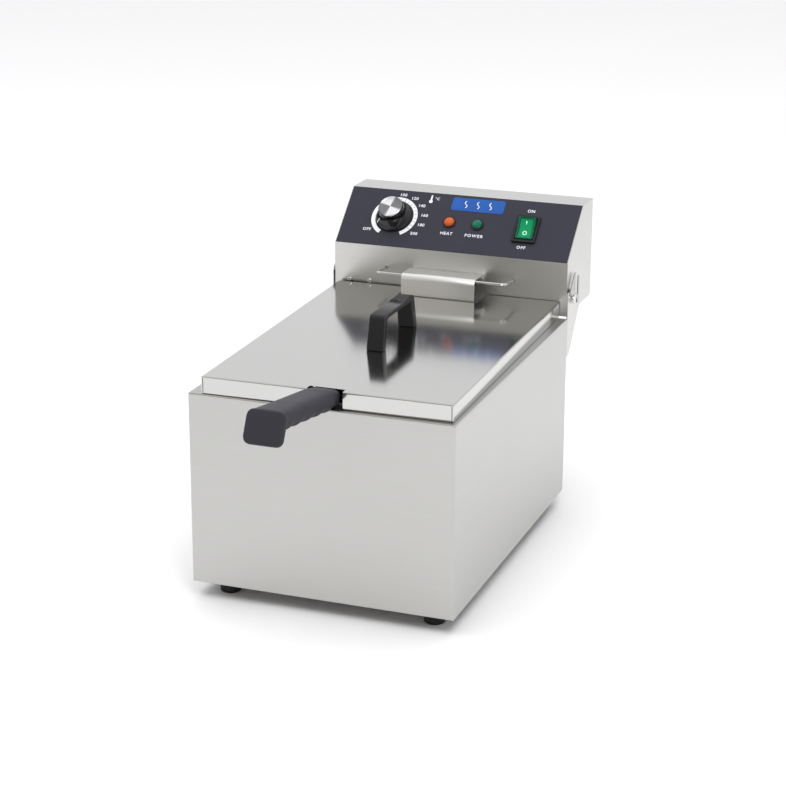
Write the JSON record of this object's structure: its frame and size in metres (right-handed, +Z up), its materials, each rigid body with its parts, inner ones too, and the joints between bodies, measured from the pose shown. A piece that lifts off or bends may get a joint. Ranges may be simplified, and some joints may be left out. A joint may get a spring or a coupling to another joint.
{
  "type": "deep fryer",
  "caption": "Small commercial deep fryer: stainless casing, lift-off pan lid, wire basket with a long grip and a swing-back control head with its element.",
  "frame": {"origin": "centre of the bounding box on the table, under the four feet", "axes": "+Z up, front faces -Y with the basket's grip, +X to the right of someone facing the front"},
  "size_m": [0.2764, 0.6228, 0.3214],
  "materials": {
    "casing_steel": "brushed",
    "head_steel": "brushed",
    "lid_steel": "fine brushed, half mirror",
    "tank_steel": "satin",
    "hook_steel": "brushed",
    "bright_steel": "polished",
    "chrome_wire": "polished",
    "element_steel": "dull",
    "foot_rubber": "matt",
    "panel_film": "matt film",
    "knob_black": "gloss",
    "knob_aluminium": "spun",
    "orange_lens": "clear tinted",
    "green_lens": "clear tinted",
    "rocker_green": "clear tinted",
    "switch_black": "satin",
    "inner_plastic": "matt",
    "reset_red": "gloss",
    "handle_plastic": "gloss",
    "grip_plastic": "matt"
  },
  "bodies": {
    "casing": {"casing_wrap": "casing_steel", "casing_floor": "casing_steel", "casing_rear_panel": "casing_steel", "top_deck": "casing_steel", "oil_tank": "tank_steel", "foot_front_left": "foot_rubber", "foot_front_right": "foot_rubber", "foot_rear_left": "foot_rubber", "foot_rear_right": "foot_rubber", "foot_screws": "bright_steel", "hinge_bracket_left": "head_steel", "hinge_bracket_right": "head_steel", "head_stay_left": "bright_steel", "head_stay_right": "bright_steel"},
    "head": {"head_housing": "head_steel", "head_rear_cover": "head_steel", "head_floor_plate": "head_steel", "rear_cover_screws": "bright_steel", "control_panel": "panel_film", "hook_rail": "chrome_wire", "dome_nuts": "bright_steel", "pivot_pin_left": "bright_steel", "pivot_pin_right": "bright_steel", "element_neck": "head_steel", "heating_element": "element_steel", "thermostat_bulb": "bright_steel", "cutout_bulb": "bright_steel", "probe_strap": "bright_steel", "thermostat_body": "inner_plastic", "heat_lamp_body": "switch_black", "heat_lamp_lens": "orange_lens", "power_lamp_body": "switch_black", "power_lamp_lens": "green_lens", "switch_housing": "switch_black", "terminal_block": "inner_plastic", "overheat_cutout": "inner_plastic", "interlock_switch": "inner_plastic", "cable_gland": "switch_black"},
    "knob": {"thermostat_knob": "knob_black", "knob_cap": "knob_aluminium", "thermostat_shaft": "bright_steel"},
    "rocker": {"switch_rocker": "rocker_green"},
    "reset": {"reset_button": "reset_red"},
    "lid": {"lid_pan": "lid_steel", "lid_handle": "handle_plastic", "lid_handle_screws": "bright_steel"},
    "basket": {"basket_mesh": "chrome_wire", "basket_rim": "chrome_wire", "basket_hook": "hook_steel", "handle_rods": "chrome_wire", "basket_grip": "grip_plastic"}
  },
  "joints": [
    {"name": "head_tilt", "type": "hinge", "parent": "casing", "child": "head", "pos_m": [0, 0.2166, 0.229], "axis": [-1, 0, 0], "range_deg": [0, 75]},
    {"name": "lid_open", "type": "hinge", "parent": "head", "child": "lid", "pos_m": [0, 0.2166, 0.316], "axis": [-1, 0, 0], "range_deg": [0, 80]},
    {"name": "basket_lift", "type": "slide", "parent": "head", "child": "basket", "axis": [0, 0, 1], "range_m": [0, 0.084]},
    {"name": "knob_turn", "type": "hinge", "parent": "head", "child": "knob", "pos_m": [-0.0739, 0.22707, 0.30442], "axis": [0, 0.6657, -0.7462], "range_deg": [0, 251]},
    {"name": "rocker_tilt", "type": "hinge", "parent": "head", "child": "rocker", "pos_m": [0.078, 0.23098, 0.29719], "axis": [-1, 0, 0], "range_deg": [0, 24]},
    {"name": "reset_press", "type": "slide", "parent": "head", "child": "reset", "axis": [0, -1, 0], "range_m": [0, 0.0025], "stiffness_N_per_m": 300, "springref_m": -0.001}
  ],
  "couplings": [
    {"joint": "basket_lift", "follows": "lid_open", "m_per_rad": 0.06}
  ]
}
